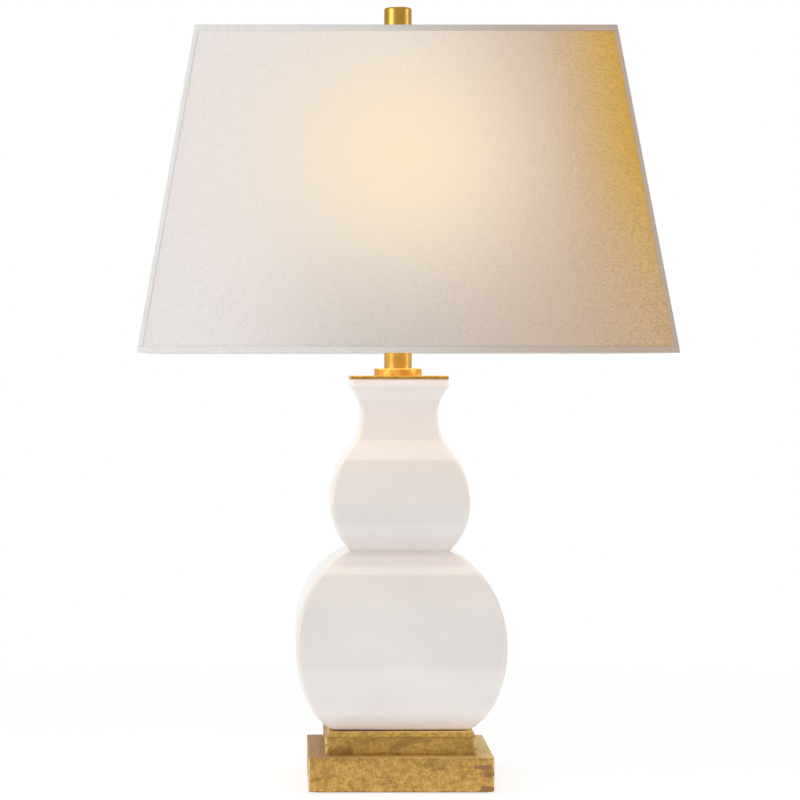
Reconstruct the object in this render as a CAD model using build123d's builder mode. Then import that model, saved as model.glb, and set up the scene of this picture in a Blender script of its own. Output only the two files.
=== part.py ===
from build123d import *
import os
from math import acos, asin, cos, degrees, hypot, radians, sin, sqrt

# Gourd table lamp of square plan on a gilded base, with a square tapered shade.
# Millimetres, +Z up, origin at the centre of the foot, front of the lamp towards -Y.

# Base
FELT_THICKNESS = 0.8
FELT_INSET = 5.0
BASE_WIDTH = 138.0
BASE_HEIGHT = 26.0
BASE_EDGE_RADIUS = 0.8
TIER_WIDTH = 113.2
TIER_HEIGHT = 13.2
TIER_LEDGE = 2.0
TIER_CAP_HEIGHT = 4.3
TIER_CAP_RADIUS = 1.6
RECESS_DIAMETER = 54.0
RECESS_DEPTH = 13.8
CORD_AXIS_HEIGHT = 9.5
CORD_CHANNEL_DIAMETER = 7.2
BUSHING_BORE = 6.4
BUSHING_DIAMETER = 10.0
BUSHING_LENGTH = 12.0
BUSHING_FLANGE_DIAMETER = 13.0
BUSHING_FLANGE_THICKNESS = 1.6

# Rod that holds the stack together, and its nut and washers
ROD_DIAMETER = 10.0
ROD_BORE = 6.6
ROD_CHAMFER = 0.6
ROD_TAIL = 2.0
ROD_IN_CAP = 7.0
NUT_ACROSS_FLATS = 14.0
NUT_HEIGHT = 4.0
LOCK_WASHER_DIAMETER = 16.0
LOCK_WASHER_THICKNESS = 1.4
LOCK_WASHER_SPLIT = 1.4
WASHER_DIAMETER = 32.0
WASHER_THICKNESS = 2.0
THREAD_CLEARANCE = 0.05
PASSAGE_CLEARANCE = 0.4

# Gourd body, widths across the flats and the heights from each level to the next
FOOT_WIDTH = 101.0
FOOT_TO_LOWER_BULB = 64.4
LOWER_BULB_WIDTH = 156.0
LOWER_BULB_FULLNESS = 1.36
LOWER_BULB_TO_WAIST = 67.8
WAIST_WIDTH = 74.0
WAIST_TO_UPPER_BULB = 36.8
UPPER_BULB_WIDTH = 103.8
UPPER_BULB_TO_NECK = 65.6
SHOULDER_SHARE = 0.59
NECK_WIDTH = 57.6
NECK_TO_RIM = 21.3
MOUTH_WIDTH = 74.0
MOUTH_RIM_HEIGHT = 4.8
BODY_WALL = 7.0
BODY_FLOOR = 8.0
BODY_CORNER_RADIUS = 2.4
GASKET_THICKNESS = 0.8
GASKET_INSET = 4.0
PLATE_GASKET_INSET = 0.6

# Brass fittings on the mouth
PLATE_WIDTH = 73.6
PLATE_THICKNESS = 2.4
PLATE_EDGE_RADIUS = 0.5
PLUG_CLEARANCE = 0.5
PLUG_CORNER_RADIUS = 3.0
COLLAR_DIAMETER = 36.3
COLLAR_HEIGHT = 5.6
COLLAR_EDGE_RADIUS = 0.8
TUBE_DIAMETER = 21.2
TUBE_WALL = 1.2
TUBE_SEAT_DEPTH = 1.5
TUBE_SHOWN = 27.0
SEAT_CLEARANCE = 0.1

# Harp and its saddle
SADDLE_THICKNESS = 2.0
SADDLE_WIDTH = 12.0
SADDLE_SPAN = 62.0
SADDLE_ARM_HEIGHT = 17.4
SADDLE_BEND_RADIUS = 4.0
POST_LENGTH = 6.0
HARP_WIRE_DIAMETER = 4.0
HARP_HEIGHT = 210.1
HARP_BELLY_WIDTH = 112.0
HARP_CROWN_WIDTH = 56.0
HARP_LEG_LENGTH = 50.0
HARP_FLARE_HEIGHT = 38.0
HARP_SHOULDER_DROP = 38.0
HARP_BEND_SHARE = 0.4
HARP_PAD_DIAMETER = 13.0
HARP_PAD_THICKNESS = 5.0
LEG_GAP = 0.2
SLEEVE_DIAMETER = 6.6
SLEEVE_LENGTH = 17.0
SLEEVE_CLEARANCE = 0.1
STUD_POST_DIAMETER = 6.35
STUD_SHANK_DIAMETER = 5.0
STUD_FLANGE_DIAMETER = 14.0
STUD_FLANGE_THICKNESS = 2.0
STUD_RIVET_DIAMETER = 9.0
STUD_RIVET_THICKNESS = 1.2
STUD_POST_LENGTH = 12.0
RUNNING_CLEARANCE = 0.06

# Socket
CAP_HUB_DIAMETER = 14.0
CAP_HUB_HEIGHT = 8.0
CAP_DIAMETER = 35.0
CAP_HEIGHT = 14.4
CAP_WALL = 0.8
CAP_BEND_RADIUS = 7.0
SET_SCREW_DIAMETER = 3.0
SHELL_DIAMETER = 33.0
SHELL_WALL = 0.6
SHELL_HEIGHT = 43.0
SHELL_LIFT = 7.0
LINER_WALL = 0.8
LINER_GAP = 0.1
PEDESTAL_DIAMETER = 20.0
PEDESTAL_HEIGHT = 7.2
CORE_GAP = 0.15
SCREW_SHELL_BORE = 27.6
SCREW_SHELL_WALL = 0.5
SCREW_SHELL_HEIGHT = 21.0
CONTACT_DIAMETER = 12.0
CONTACT_THICKNESS = 2.0
TERMINAL_HEAD_DIAMETER = 5.2
TERMINAL_HEAD_HEIGHT = 1.8
TERMINAL_SHANK_DIAMETER = 3.0
TERMINAL_SHANK_LENGTH = 5.0
SWITCH_SHAFT_DIAMETER = 5.0
SWITCH_SHAFT_DEPTH = 11.0
SWITCH_RISE = 6.5
SWITCH_COVER = 5.0
SWITCH_HOLE_CLEARANCE = 1.0
KNOB_DIAMETER = 11.5
KNOB_LENGTH = 12.0
KNOB_STANDOFF = 4.0
KNOB_FLUTES = 12
KNOB_FLUTE_DIAMETER = 1.6
KNOB_END_RADIUS = 1.0

# Bulb
BULB_DIAMETER = 60.0
BULB_LENGTH = 108.0
BULB_GLASS = 0.9
BULB_NECK_RADIUS = 25.0
BULB_CAP_DIAMETER = 26.4
BULB_CAP_WALL = 0.6
BULB_CAP_HEIGHT = 21.0
BULB_THREAD_PITCH = 3.6
BULB_THREAD_DEPTH = 0.7
BULB_THREAD_TURNS = 4
BULB_TIP_DIAMETER = 9.0
BULB_TIP_HEIGHT = 1.6
BULB_INSULATOR_HEIGHT = 3.4
STEM_DIAMETER = 9.0
STEM_HEIGHT = 44.0
STEM_FOOT_HEIGHT = 3.0
FILAMENT_SPAN = 26.0
FILAMENT_DIAMETER = 1.2
FILAMENT_LIFT = 10.0

# Shade
SHADE_BOTTOM_WIDTH = 380.0
SHADE_TOP_WIDTH = 301.0
SHADE_HEIGHT = 233.4
SHADE_RISE = 4.2
PANEL_THICKNESS = 1.0
TAPE_THICKNESS = 0.5
TRIM_HEIGHT = 4.0
CORNER_TAPE_WIDTH = 2.8
FRAME_WIRE_DIAMETER = 3.0
SPIDER_WIRE_DIAMETER = 2.6
CORNER_WIRE_DIAMETER = 2.4
FRAME_CORNER_RADIUS = 6.0
FRAME_GAP = 0.2
HUB_DIAMETER = 26.0
HUB_THICKNESS = 2.0

# Finial
FINIAL_DIAMETER = 21.2
FINIAL_HEIGHT = 32.0
FINIAL_EDGE_RADIUS = 1.8
FINIAL_FOOT_RADIUS = 0.6

# Levels of the stack, from the foot upwards
base_bottom = FELT_THICKNESS
base_top = base_bottom + BASE_HEIGHT
tier_ledge_level = base_top + TIER_HEIGHT
tier_top = tier_ledge_level + TIER_CAP_HEIGHT
body_bottom = tier_top + GASKET_THICKNESS
lower_bulb_level = body_bottom + FOOT_TO_LOWER_BULB
waist_level = lower_bulb_level + LOWER_BULB_TO_WAIST
upper_bulb_level = waist_level + WAIST_TO_UPPER_BULB
neck_level = upper_bulb_level + UPPER_BULB_TO_NECK
rim_level = neck_level + NECK_TO_RIM
body_top = rim_level + MOUTH_RIM_HEIGHT
plate_bottom = body_top + GASKET_THICKNESS
plate_top = plate_bottom + PLATE_THICKNESS
collar_top = plate_top + COLLAR_HEIGHT
tube_bottom = collar_top - TUBE_SEAT_DEPTH
tube_top = collar_top + TUBE_SHOWN
saddle_top = tube_top + SADDLE_THICKNESS
arm_top = saddle_top + SADDLE_ARM_HEIGHT
leg_bottom = arm_top + POST_LENGTH + LEG_GAP
harp_top = saddle_top + HARP_HEIGHT
hub_bottom = harp_top + STUD_FLANGE_THICKNESS
hub_top = hub_bottom + HUB_THICKNESS
finial_top = hub_top + FINIAL_HEIGHT
shade_top = hub_bottom + SHADE_RISE
shade_bottom = shade_top - SHADE_HEIGHT
cap_floor = saddle_top + CAP_HUB_HEIGHT + CAP_WALL
cap_rim = saddle_top + CAP_HUB_HEIGHT + CAP_HEIGHT
shell_bottom = cap_floor + SHELL_LIFT
shell_top = shell_bottom + SHELL_HEIGHT
core_bottom = cap_floor + PEDESTAL_HEIGHT
switch_level = cap_rim + SWITCH_RISE
core_top = switch_level + SWITCH_COVER
bulb_bottom = core_top + CONTACT_THICKNESS
bulb_top = bulb_bottom + BULB_LENGTH
bulb_cap_bottom = bulb_bottom + BULB_TIP_HEIGHT + BULB_INSULATOR_HEIGHT
bulb_cap_top = bulb_cap_bottom + BULB_CAP_HEIGHT
recess_ceiling = base_bottom + RECESS_DEPTH
washer_bottom = recess_ceiling - WASHER_THICKNESS
lock_washer_bottom = washer_bottom - LOCK_WASHER_THICKNESS
nut_bottom = lock_washer_bottom - NUT_HEIGHT
rod_bottom = nut_bottom - ROD_TAIL
rod_top = saddle_top + ROD_IN_CAP

# Radii that several pieces share
rod_radius = ROD_DIAMETER / 2
thread_radius = rod_radius + THREAD_CLEARANCE
passage_radius = rod_radius + PASSAGE_CLEARANCE
wire_radius = HARP_WIRE_DIAMETER / 2
frame_radius = FRAME_WIRE_DIAMETER / 2
shell_bore = SHELL_DIAMETER / 2 - SHELL_WALL
liner_radius = shell_bore - LINER_GAP
core_radius = liner_radius - LINER_WALL - CORE_GAP
switch_radius = SWITCH_SHAFT_DIAMETER / 2
post_x = SADDLE_SPAN / 2

UPWARD = (Align.CENTER, Align.CENTER, Align.MIN)

os.makedirs("parts", exist_ok=True)


def finish(piece, name):
    """Label a finished piece and write it to its own file."""
    piece.part.label = name
    export_step(piece.part, f"parts/{name}.step")


def disc(radius, bore, low, high):
    """Ring between two heights around the lamp's axis."""
    with BuildPart(Plane.XY.offset(low)) as ring:
        Cylinder(radius, high - low, align=UPWARD)
        if bore:
            Cylinder(bore, high - low, align=UPWARD, mode=Mode.SUBTRACT)
    return ring.part


def wire(points, radii, radius):
    """Round wire along straight runs joined by tangent arcs."""
    with BuildPart() as rod:
        with BuildLine():
            path = FilletPolyline(*points, radius=radii)
        with BuildSketch(Plane(origin=path @ 0, z_dir=path % 0)):
            Circle(radius)
        sweep(path=path)
    return rod.part


# Felt under the base, with an opening below the recess
with BuildPart() as felt_pad:
    felt_width = BASE_WIDTH - 2 * FELT_INSET
    Box(felt_width, felt_width, FELT_THICKNESS, align=UPWARD)
    Cylinder(RECESS_DIAMETER / 2, FELT_THICKNESS, align=UPWARD, mode=Mode.SUBTRACT)
finish(felt_pad, "felt_pad")

# Base block with the recess for the nut and the way in for the cord
cord_level = base_bottom + CORD_AXIS_HEIGHT
back_plane = Plane(origin=(0, BASE_WIDTH / 2, cord_level), x_dir=(-1, 0, 0), z_dir=(0, 1, 0))
with BuildPart(Plane.XY.offset(base_bottom)) as base_block:
    Box(BASE_WIDTH, BASE_WIDTH, BASE_HEIGHT, align=UPWARD)
    fillet(base_block.edges().filter_by(Axis.Z), BASE_EDGE_RADIUS)
    fillet(base_block.faces().sort_by(Axis.Z)[-1].edges(), BASE_EDGE_RADIUS)
    Cylinder(RECESS_DIAMETER / 2, RECESS_DEPTH, align=UPWARD, mode=Mode.SUBTRACT)
    Cylinder(passage_radius, BASE_HEIGHT, align=UPWARD, mode=Mode.SUBTRACT)
    with BuildSketch(back_plane):
        Circle(CORD_CHANNEL_DIAMETER / 2)
    extrude(amount=-BASE_WIDTH / 2, mode=Mode.SUBTRACT)
    with BuildSketch(back_plane):
        Circle(BUSHING_DIAMETER / 2 + SEAT_CLEARANCE)
    extrude(amount=-BUSHING_LENGTH, mode=Mode.SUBTRACT)
finish(base_block, "base_block")

# Bushing in the back of the base, where a cord goes in
with BuildPart(back_plane) as cord_bushing:
    Cylinder(BUSHING_FLANGE_DIAMETER / 2, BUSHING_FLANGE_THICKNESS, align=UPWARD)
    fillet(cord_bushing.edges().sort_by(Axis.Y)[-1], BUSHING_FLANGE_THICKNESS / 2)
    with BuildSketch(back_plane):
        Circle(BUSHING_DIAMETER / 2)
    extrude(amount=-BUSHING_LENGTH)
    Hole(BUSHING_BORE / 2)
finish(cord_bushing, "cord_bushing")

# Upper tier: a square step with a slightly smaller cap
with BuildPart(Plane.XY.offset(base_top)) as base_tier:
    Box(TIER_WIDTH, TIER_WIDTH, TIER_HEIGHT, align=UPWARD)
    fillet(base_tier.edges().filter_by(Axis.Z), BASE_EDGE_RADIUS)
    cap_width = TIER_WIDTH - 2 * TIER_LEDGE
    with BuildSketch(Plane.XY.offset(tier_ledge_level)):
        RectangleRounded(cap_width, cap_width, BASE_EDGE_RADIUS)
    extrude(amount=TIER_CAP_HEIGHT)
    fillet(base_tier.faces().sort_by(Axis.Z)[-1].edges(), TIER_CAP_RADIUS)
    Cylinder(passage_radius, TIER_HEIGHT + TIER_CAP_HEIGHT, align=UPWARD, mode=Mode.SUBTRACT)
finish(base_tier, "base_tier")

# Hollow threaded rod through the whole stack
with BuildPart() as threaded_rod:
    add(disc(rod_radius, ROD_BORE / 2, rod_bottom, rod_top))
    chamfer(threaded_rod.edges().filter_by(GeomType.CIRCLE).group_by(SortBy.RADIUS)[-1], ROD_CHAMFER)
finish(threaded_rod, "threaded_rod")

# Nut under the base
with BuildPart() as rod_nut:
    with BuildSketch(Plane.XY.offset(nut_bottom)):
        RegularPolygon(NUT_ACROSS_FLATS / 2, 6, major_radius=False)
        Circle(thread_radius, mode=Mode.SUBTRACT)
    extrude(amount=NUT_HEIGHT)
finish(rod_nut, "rod_nut")

# Split lock washer
with BuildPart(Plane.XY.offset(lock_washer_bottom)) as lock_washer:
    add(disc(LOCK_WASHER_DIAMETER / 2, passage_radius, 0, LOCK_WASHER_THICKNESS))
    Box(
        LOCK_WASHER_DIAMETER,
        LOCK_WASHER_SPLIT,
        LOCK_WASHER_THICKNESS,
        align=(Align.MIN, Align.CENTER, Align.MIN),
        mode=Mode.SUBTRACT,
    )
finish(lock_washer, "lock_washer")

# Flat washer against the ceiling of the recess
with BuildPart() as rod_washer:
    add(disc(WASHER_DIAMETER / 2, passage_radius, washer_bottom, recess_ceiling))
finish(rod_washer, "rod_washer")

# Soft gasket between the tier and the body
with BuildPart(Plane.XY.offset(tier_top)) as body_gasket:
    gasket_width = FOOT_WIDTH - 2 * GASKET_INSET
    Box(gasket_width, gasket_width, GASKET_THICKNESS, align=UPWARD)
    Cylinder(passage_radius, GASKET_THICKNESS, align=UPWARD, mode=Mode.SUBTRACT)
finish(body_gasket, "body_gasket")


def upright_arc(step, rise):
    """Radius of an arc that starts upright and moves sideways by a step over a rise."""
    return (step * step + rise * rise) / (2 * step)


# Curves of the gourd, the same on its outside and its inside
lower_turn = acos(1 - 1 / LOWER_BULB_FULLNESS)
foot_depth = LOWER_BULB_FULLNESS * (LOWER_BULB_WIDTH - FOOT_WIDTH) / 2
foot_reach = FOOT_TO_LOWER_BULB / sin(lower_turn)
waist_depth = LOWER_BULB_FULLNESS * (LOWER_BULB_WIDTH - WAIST_WIDTH) / 2
waist_reach = LOWER_BULB_TO_WAIST / sin(lower_turn)
upper_radius = upright_arc((UPPER_BULB_WIDTH - WAIST_WIDTH) / 2, WAIST_TO_UPPER_BULB)
upper_turn = asin(WAIST_TO_UPPER_BULB / upper_radius)
double_radius = upright_arc((UPPER_BULB_WIDTH - NECK_WIDTH) / 2, UPPER_BULB_TO_NECK)
shoulder_radius = SHOULDER_SHARE * double_radius
neck_radius = double_radius - shoulder_radius
shoulder_turn = asin(UPPER_BULB_TO_NECK / double_radius)
flare_radius = upright_arc((MOUTH_WIDTH - NECK_WIDTH) / 2, NECK_TO_RIM)
flare_turn = asin(NECK_TO_RIM / flare_radius)


def gourd(inset):
    """Solid gourd: one outline pushed through along X and along Y, so its corners are mitred."""
    foot = FOOT_WIDTH / 2 - inset
    lower = LOWER_BULB_WIDTH / 2 - inset
    upper = UPPER_BULB_WIDTH / 2 - inset
    neck = NECK_WIDTH / 2 - inset
    mouth = MOUTH_WIDTH / 2 - inset
    foot_centre = (lower - foot_depth, lower_bulb_level)
    waist_centre = (lower - waist_depth, lower_bulb_level)
    upper_centre = (upper - upper_radius, upper_bulb_level)
    shoulder_centre = (upper - shoulder_radius, upper_bulb_level)
    neck_centre = (neck + neck_radius, neck_level)
    flare_centre = (neck + flare_radius, neck_level)
    lower_angle = degrees(lower_turn)
    upper_angle = degrees(upper_turn)
    with BuildPart() as solid:
        for plane, mode in ((Plane.XZ, Mode.ADD), (Plane.YZ, Mode.INTERSECT)):
            with BuildSketch(plane):
                with BuildLine():
                    Line((0, body_bottom), (foot, body_bottom))
                    EllipticalCenterArc(
                        foot_centre, foot_depth, foot_reach, start_angle=-lower_angle, arc_size=lower_angle
                    )
                    EllipticalCenterArc(waist_centre, waist_depth, waist_reach, arc_size=lower_angle)
                    CenterArc(upper_centre, upper_radius, -upper_angle, upper_angle)
                    CenterArc(shoulder_centre, shoulder_radius, 0, degrees(shoulder_turn))
                    CenterArc(neck_centre, neck_radius, 180, degrees(shoulder_turn))
                    CenterArc(flare_centre, flare_radius, 180, -degrees(flare_turn))
                    Polyline((mouth, rim_level), (mouth, body_top), (0, body_top))
                    mirror(about=Plane.YZ)
                make_face()
            extrude(amount=LOWER_BULB_WIDTH, both=True, mode=mode)
    return solid.part


# Hollow ceramic body with an open mouth and a hole for the rod in its floor
with BuildPart() as cavity:
    add(gourd(BODY_WALL))
    split(bisect_by=Plane.XY.offset(body_bottom + BODY_FLOOR), keep=Keep.TOP)

with BuildPart() as gourd_body:
    add(gourd(0))
    fillet(gourd_body.edges().filter_by(Plane.XY, reverse=True), BODY_CORNER_RADIUS)
    add(cavity.part, mode=Mode.SUBTRACT)
    add(disc(passage_radius, 0, body_bottom, body_bottom + BODY_FLOOR), mode=Mode.SUBTRACT)
finish(gourd_body, "gourd_body")

# Soft gasket on the rim of the mouth
mouth_opening = MOUTH_WIDTH - 2 * BODY_WALL
rim_seal_width = MOUTH_WIDTH - 2 * PLATE_GASKET_INSET
with BuildPart() as plate_gasket:
    with BuildSketch(Plane.XY.offset(body_top)):
        RectangleRounded(rim_seal_width, rim_seal_width, BODY_CORNER_RADIUS)
        Rectangle(mouth_opening, mouth_opening, mode=Mode.SUBTRACT)
    extrude(amount=GASKET_THICKNESS)
finish(plate_gasket, "plate_gasket")

# Plug under the plate that keeps it centred in the mouth
plug_width = mouth_opening - 2 * PLUG_CLEARANCE
plug_height = MOUTH_RIM_HEIGHT + GASKET_THICKNESS
with BuildPart() as locating_plug:
    with BuildSketch(Plane.XY.offset(plate_bottom)):
        RectangleRounded(plug_width, plug_width, PLUG_CORNER_RADIUS)
        Circle(passage_radius, mode=Mode.SUBTRACT)
    extrude(amount=-plug_height)
finish(locating_plug, "locating_plug")

# Square brass plate over the mouth
with BuildPart(Plane.XY.offset(plate_bottom)) as top_plate:
    Box(PLATE_WIDTH, PLATE_WIDTH, PLATE_THICKNESS, align=UPWARD)
    fillet(top_plate.edges(), PLATE_EDGE_RADIUS)
    Cylinder(passage_radius, PLATE_THICKNESS, align=UPWARD, mode=Mode.SUBTRACT)
finish(top_plate, "top_plate")

# Round collar with a seat for the neck tube
with BuildPart() as collar:
    add(disc(COLLAR_DIAMETER / 2, passage_radius, plate_top, collar_top))
    fillet(collar.faces().sort_by(Axis.Z)[-1].outer_wire().edges(), COLLAR_EDGE_RADIUS)
    add(disc(TUBE_DIAMETER / 2 + SEAT_CLEARANCE, 0, tube_bottom, collar_top), mode=Mode.SUBTRACT)
finish(collar, "collar")

# Neck tube
with BuildPart() as neck_tube:
    add(disc(TUBE_DIAMETER / 2, TUBE_DIAMETER / 2 - TUBE_WALL, tube_bottom, tube_top))
finish(neck_tube, "neck_tube")

# Saddle: a bent strip across the tube with a post on each arm
with BuildPart() as harp_saddle:
    with BuildSketch(Plane.XZ):
        strip_level = tube_top + SADDLE_THICKNESS / 2
        with BuildLine():
            FilletPolyline(
                (-post_x, arm_top),
                (-post_x, strip_level),
                (post_x, strip_level),
                (post_x, arm_top),
                radius=SADDLE_BEND_RADIUS,
            )
        trace(line_width=SADDLE_THICKNESS)
    extrude(amount=SADDLE_WIDTH / 2, both=True)
    with Locations((-post_x, 0, arm_top), (post_x, 0, arm_top)):
        Cylinder(wire_radius, POST_LENGTH, align=UPWARD)
    add(disc(passage_radius, 0, tube_top, saddle_top), mode=Mode.SUBTRACT)
finish(harp_saddle, "harp_saddle")


def bend_radii(points, share):
    """Largest bend at each corner that uses no more than a share of the shorter run beside it."""
    corners = [Vector(*point) for point in points]
    radii = []
    for before, corner, after in zip(corners, corners[1:], corners[2:]):
        arriving = corner - before
        leaving = after - corner
        half_turn = radians(arriving.get_angle(leaving)) / 2
        shorter = min(arriving.length, leaving.length)
        radii.append(share * shorter * cos(half_turn) / sin(half_turn))
    return radii


# Harp: one bent wire with a round pad at its crown for the stud
crown_level = harp_top - HARP_PAD_THICKNESS / 2
pad_bottom = harp_top - HARP_PAD_THICKNESS
flare_bottom = leg_bottom + HARP_LEG_LENGTH
harp_right = [
    (post_x, 0, leg_bottom),
    (post_x, 0, flare_bottom),
    (HARP_BELLY_WIDTH / 2, 0, flare_bottom + HARP_FLARE_HEIGHT),
    (HARP_BELLY_WIDTH / 2, 0, crown_level - HARP_SHOULDER_DROP),
    (HARP_CROWN_WIDTH / 2, 0, crown_level),
]
harp_points = [(-x, y, z) for x, y, z in harp_right] + harp_right[::-1]
with BuildPart() as harp:
    add(wire(harp_points, bend_radii(harp_points, HARP_BEND_SHARE), wire_radius))
    add(disc(HARP_PAD_DIAMETER / 2, 0, pad_bottom, harp_top))
    add(disc(STUD_SHANK_DIAMETER / 2 + RUNNING_CLEARANCE, 0, pad_bottom, harp_top), mode=Mode.SUBTRACT)
finish(harp, "harp")

# Sleeves that lock the harp's legs to the saddle's posts
for side, name in ((-1, "harp_sleeve_left"), (1, "harp_sleeve_right")):
    with BuildPart(Plane.XY.offset(arm_top)) as harp_sleeve:
        with Locations((side * post_x, 0)):
            Cylinder(SLEEVE_DIAMETER / 2, SLEEVE_LENGTH, align=UPWARD)
            Cylinder(wire_radius + SLEEVE_CLEARANCE, SLEEVE_LENGTH, align=UPWARD, mode=Mode.SUBTRACT)
    finish(harp_sleeve, name)

# Stud that turns in the harp's pad and carries the shade and the finial
rivet_top = pad_bottom - LEG_GAP
with BuildPart() as harp_stud:
    add(disc(STUD_RIVET_DIAMETER / 2, 0, rivet_top - STUD_RIVET_THICKNESS, rivet_top))
    add(disc(STUD_SHANK_DIAMETER / 2, 0, rivet_top, harp_top))
    add(disc(STUD_FLANGE_DIAMETER / 2, 0, harp_top, hub_bottom))
    add(disc(STUD_POST_DIAMETER / 2, 0, hub_bottom, hub_bottom + STUD_POST_LENGTH))
finish(harp_stud, "harp_stud")

# Socket cap: a threaded hub under a round cup
set_screw_plane = Plane(
    origin=(0, rod_radius + SEAT_CLEARANCE, saddle_top + CAP_HUB_HEIGHT / 2), z_dir=(0, 1, 0)
)
set_screw_length = CAP_HUB_DIAMETER / 2 - rod_radius
with BuildPart() as socket_cap:
    with BuildSketch(Plane.XZ):
        hub_radius = CAP_HUB_DIAMETER / 2
        cup_radius = CAP_DIAMETER / 2
        cup_bore = cup_radius - CAP_WALL
        with BuildLine():
            FilletPolyline(
                (thread_radius, saddle_top),
                (hub_radius, saddle_top),
                (hub_radius, saddle_top + CAP_HUB_HEIGHT),
                (cup_radius, saddle_top + CAP_HUB_HEIGHT),
                (cup_radius, cap_rim),
                (cup_bore, cap_rim),
                (cup_bore, cap_floor),
                (thread_radius, cap_floor),
                radius=(0, 0, 0, CAP_BEND_RADIUS, 0, 0, CAP_BEND_RADIUS - CAP_WALL, 0),
                close=True,
            )
        make_face()
    revolve(axis=Axis.Z)
    with BuildSketch(set_screw_plane):
        Circle(SET_SCREW_DIAMETER / 2 + THREAD_CLEARANCE)
    extrude(amount=set_screw_length, mode=Mode.SUBTRACT)
finish(socket_cap, "socket_cap")

# Slotted set screw in the hub, against the rod
with BuildPart(set_screw_plane) as cap_set_screw:
    Cylinder(SET_SCREW_DIAMETER / 2, set_screw_length, align=UPWARD)
    slot_size = SET_SCREW_DIAMETER / 5
    with Locations((0, 0, set_screw_length)):
        Box(SET_SCREW_DIAMETER, slot_size, slot_size, mode=Mode.SUBTRACT)
finish(cap_set_screw, "cap_set_screw")

# Switch bore, shared by the shell, the liner and the core, which open towards -Y
switch_plane = Plane(origin=(0, 0, switch_level), x_dir=(1, 0, 0), z_dir=(0, -1, 0))


def switch_hole(radius):
    """Round cut from the lamp's axis outwards along the switch shaft."""
    with BuildPart(switch_plane) as cut:
        Cylinder(radius, CAP_DIAMETER, align=UPWARD)
    return cut.part


# Brass socket shell
with BuildPart() as socket_shell:
    add(disc(SHELL_DIAMETER / 2, shell_bore, shell_bottom, shell_top))
    add(switch_hole(switch_radius + SWITCH_HOLE_CLEARANCE), mode=Mode.SUBTRACT)
finish(socket_shell, "socket_shell")

# Fibre liner inside the shell
with BuildPart() as socket_liner:
    add(disc(liner_radius, liner_radius - LINER_WALL, core_bottom, shell_top - SHELL_WALL))
    add(switch_hole(switch_radius + SWITCH_HOLE_CLEARANCE), mode=Mode.SUBTRACT)
finish(socket_liner, "socket_liner")

# Insulating core on a pedestal, with a blind bore for the switch and two terminal holes
terminal_level = cap_floor + PEDESTAL_HEIGHT / 2
terminal_x = PEDESTAL_DIAMETER / 2 - TERMINAL_SHANK_LENGTH
with BuildPart() as socket_core:
    add(disc(PEDESTAL_DIAMETER / 2, 0, cap_floor, core_bottom))
    add(disc(core_radius, 0, core_bottom, core_top))
    with BuildSketch(switch_plane.offset(core_radius - SWITCH_SHAFT_DEPTH)):
        Circle(switch_radius + RUNNING_CLEARANCE)
    extrude(amount=SWITCH_SHAFT_DEPTH, mode=Mode.SUBTRACT)
    for side in (-1, 1):
        with BuildSketch(Plane(origin=(side * terminal_x, 0, terminal_level), z_dir=(side, 0, 0))):
            Circle(TERMINAL_SHANK_DIAMETER / 2 + THREAD_CLEARANCE)
        extrude(amount=TERMINAL_SHANK_LENGTH, mode=Mode.SUBTRACT)
finish(socket_core, "socket_core")

# Terminal screws in the pedestal, one on each side
with BuildPart() as terminal_screws:
    for side in (-1, 1):
        with BuildSketch(Plane(origin=(side * terminal_x, 0, terminal_level), z_dir=(side, 0, 0))):
            Circle(TERMINAL_SHANK_DIAMETER / 2)
        extrude(amount=TERMINAL_SHANK_LENGTH)
        head_x = side * PEDESTAL_DIAMETER / 2
        with BuildSketch(Plane(origin=(head_x, 0, terminal_level), z_dir=(side, 0, 0))):
            Circle(TERMINAL_HEAD_DIAMETER / 2)
        extrude(amount=TERMINAL_HEAD_HEIGHT)
finish(terminal_screws, "terminal_screws")

# Screw shell that the bulb turns in
with BuildPart() as screw_shell:
    screw_bore = SCREW_SHELL_BORE / 2
    add(disc(screw_bore + SCREW_SHELL_WALL, screw_bore, core_top, core_top + SCREW_SHELL_HEIGHT))
finish(screw_shell, "screw_shell")

# Contact under the tip of the bulb
with BuildPart() as centre_contact:
    add(disc(CONTACT_DIAMETER / 2, 0, core_top, bulb_bottom))
finish(centre_contact, "centre_contact")

# Switch shaft, from its blind bore out to the end of the knob's bore
shaft_start = core_radius - SWITCH_SHAFT_DEPTH + LEG_GAP
knob_start = SHELL_DIAMETER / 2 + KNOB_STANDOFF
knob_bore_depth = KNOB_LENGTH / 2
with BuildPart(switch_plane.offset(shaft_start)) as switch_shaft:
    Cylinder(switch_radius, knob_start + knob_bore_depth - shaft_start, align=UPWARD)
finish(switch_shaft, "switch_shaft")

# Fluted knob on the shaft
with BuildPart(switch_plane.offset(knob_start)) as switch_knob:
    Cylinder(KNOB_DIAMETER / 2, KNOB_LENGTH, align=UPWARD)
    fillet(switch_knob.edges().sort_by(Axis.Y)[0], KNOB_END_RADIUS)
    with PolarLocations(KNOB_DIAMETER / 2, KNOB_FLUTES):
        Cylinder(KNOB_FLUTE_DIAMETER / 2, KNOB_LENGTH, align=UPWARD, mode=Mode.SUBTRACT)
    Cylinder(switch_radius + THREAD_CLEARANCE, knob_bore_depth, align=UPWARD, mode=Mode.SUBTRACT)
finish(switch_knob, "switch_knob")


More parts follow.
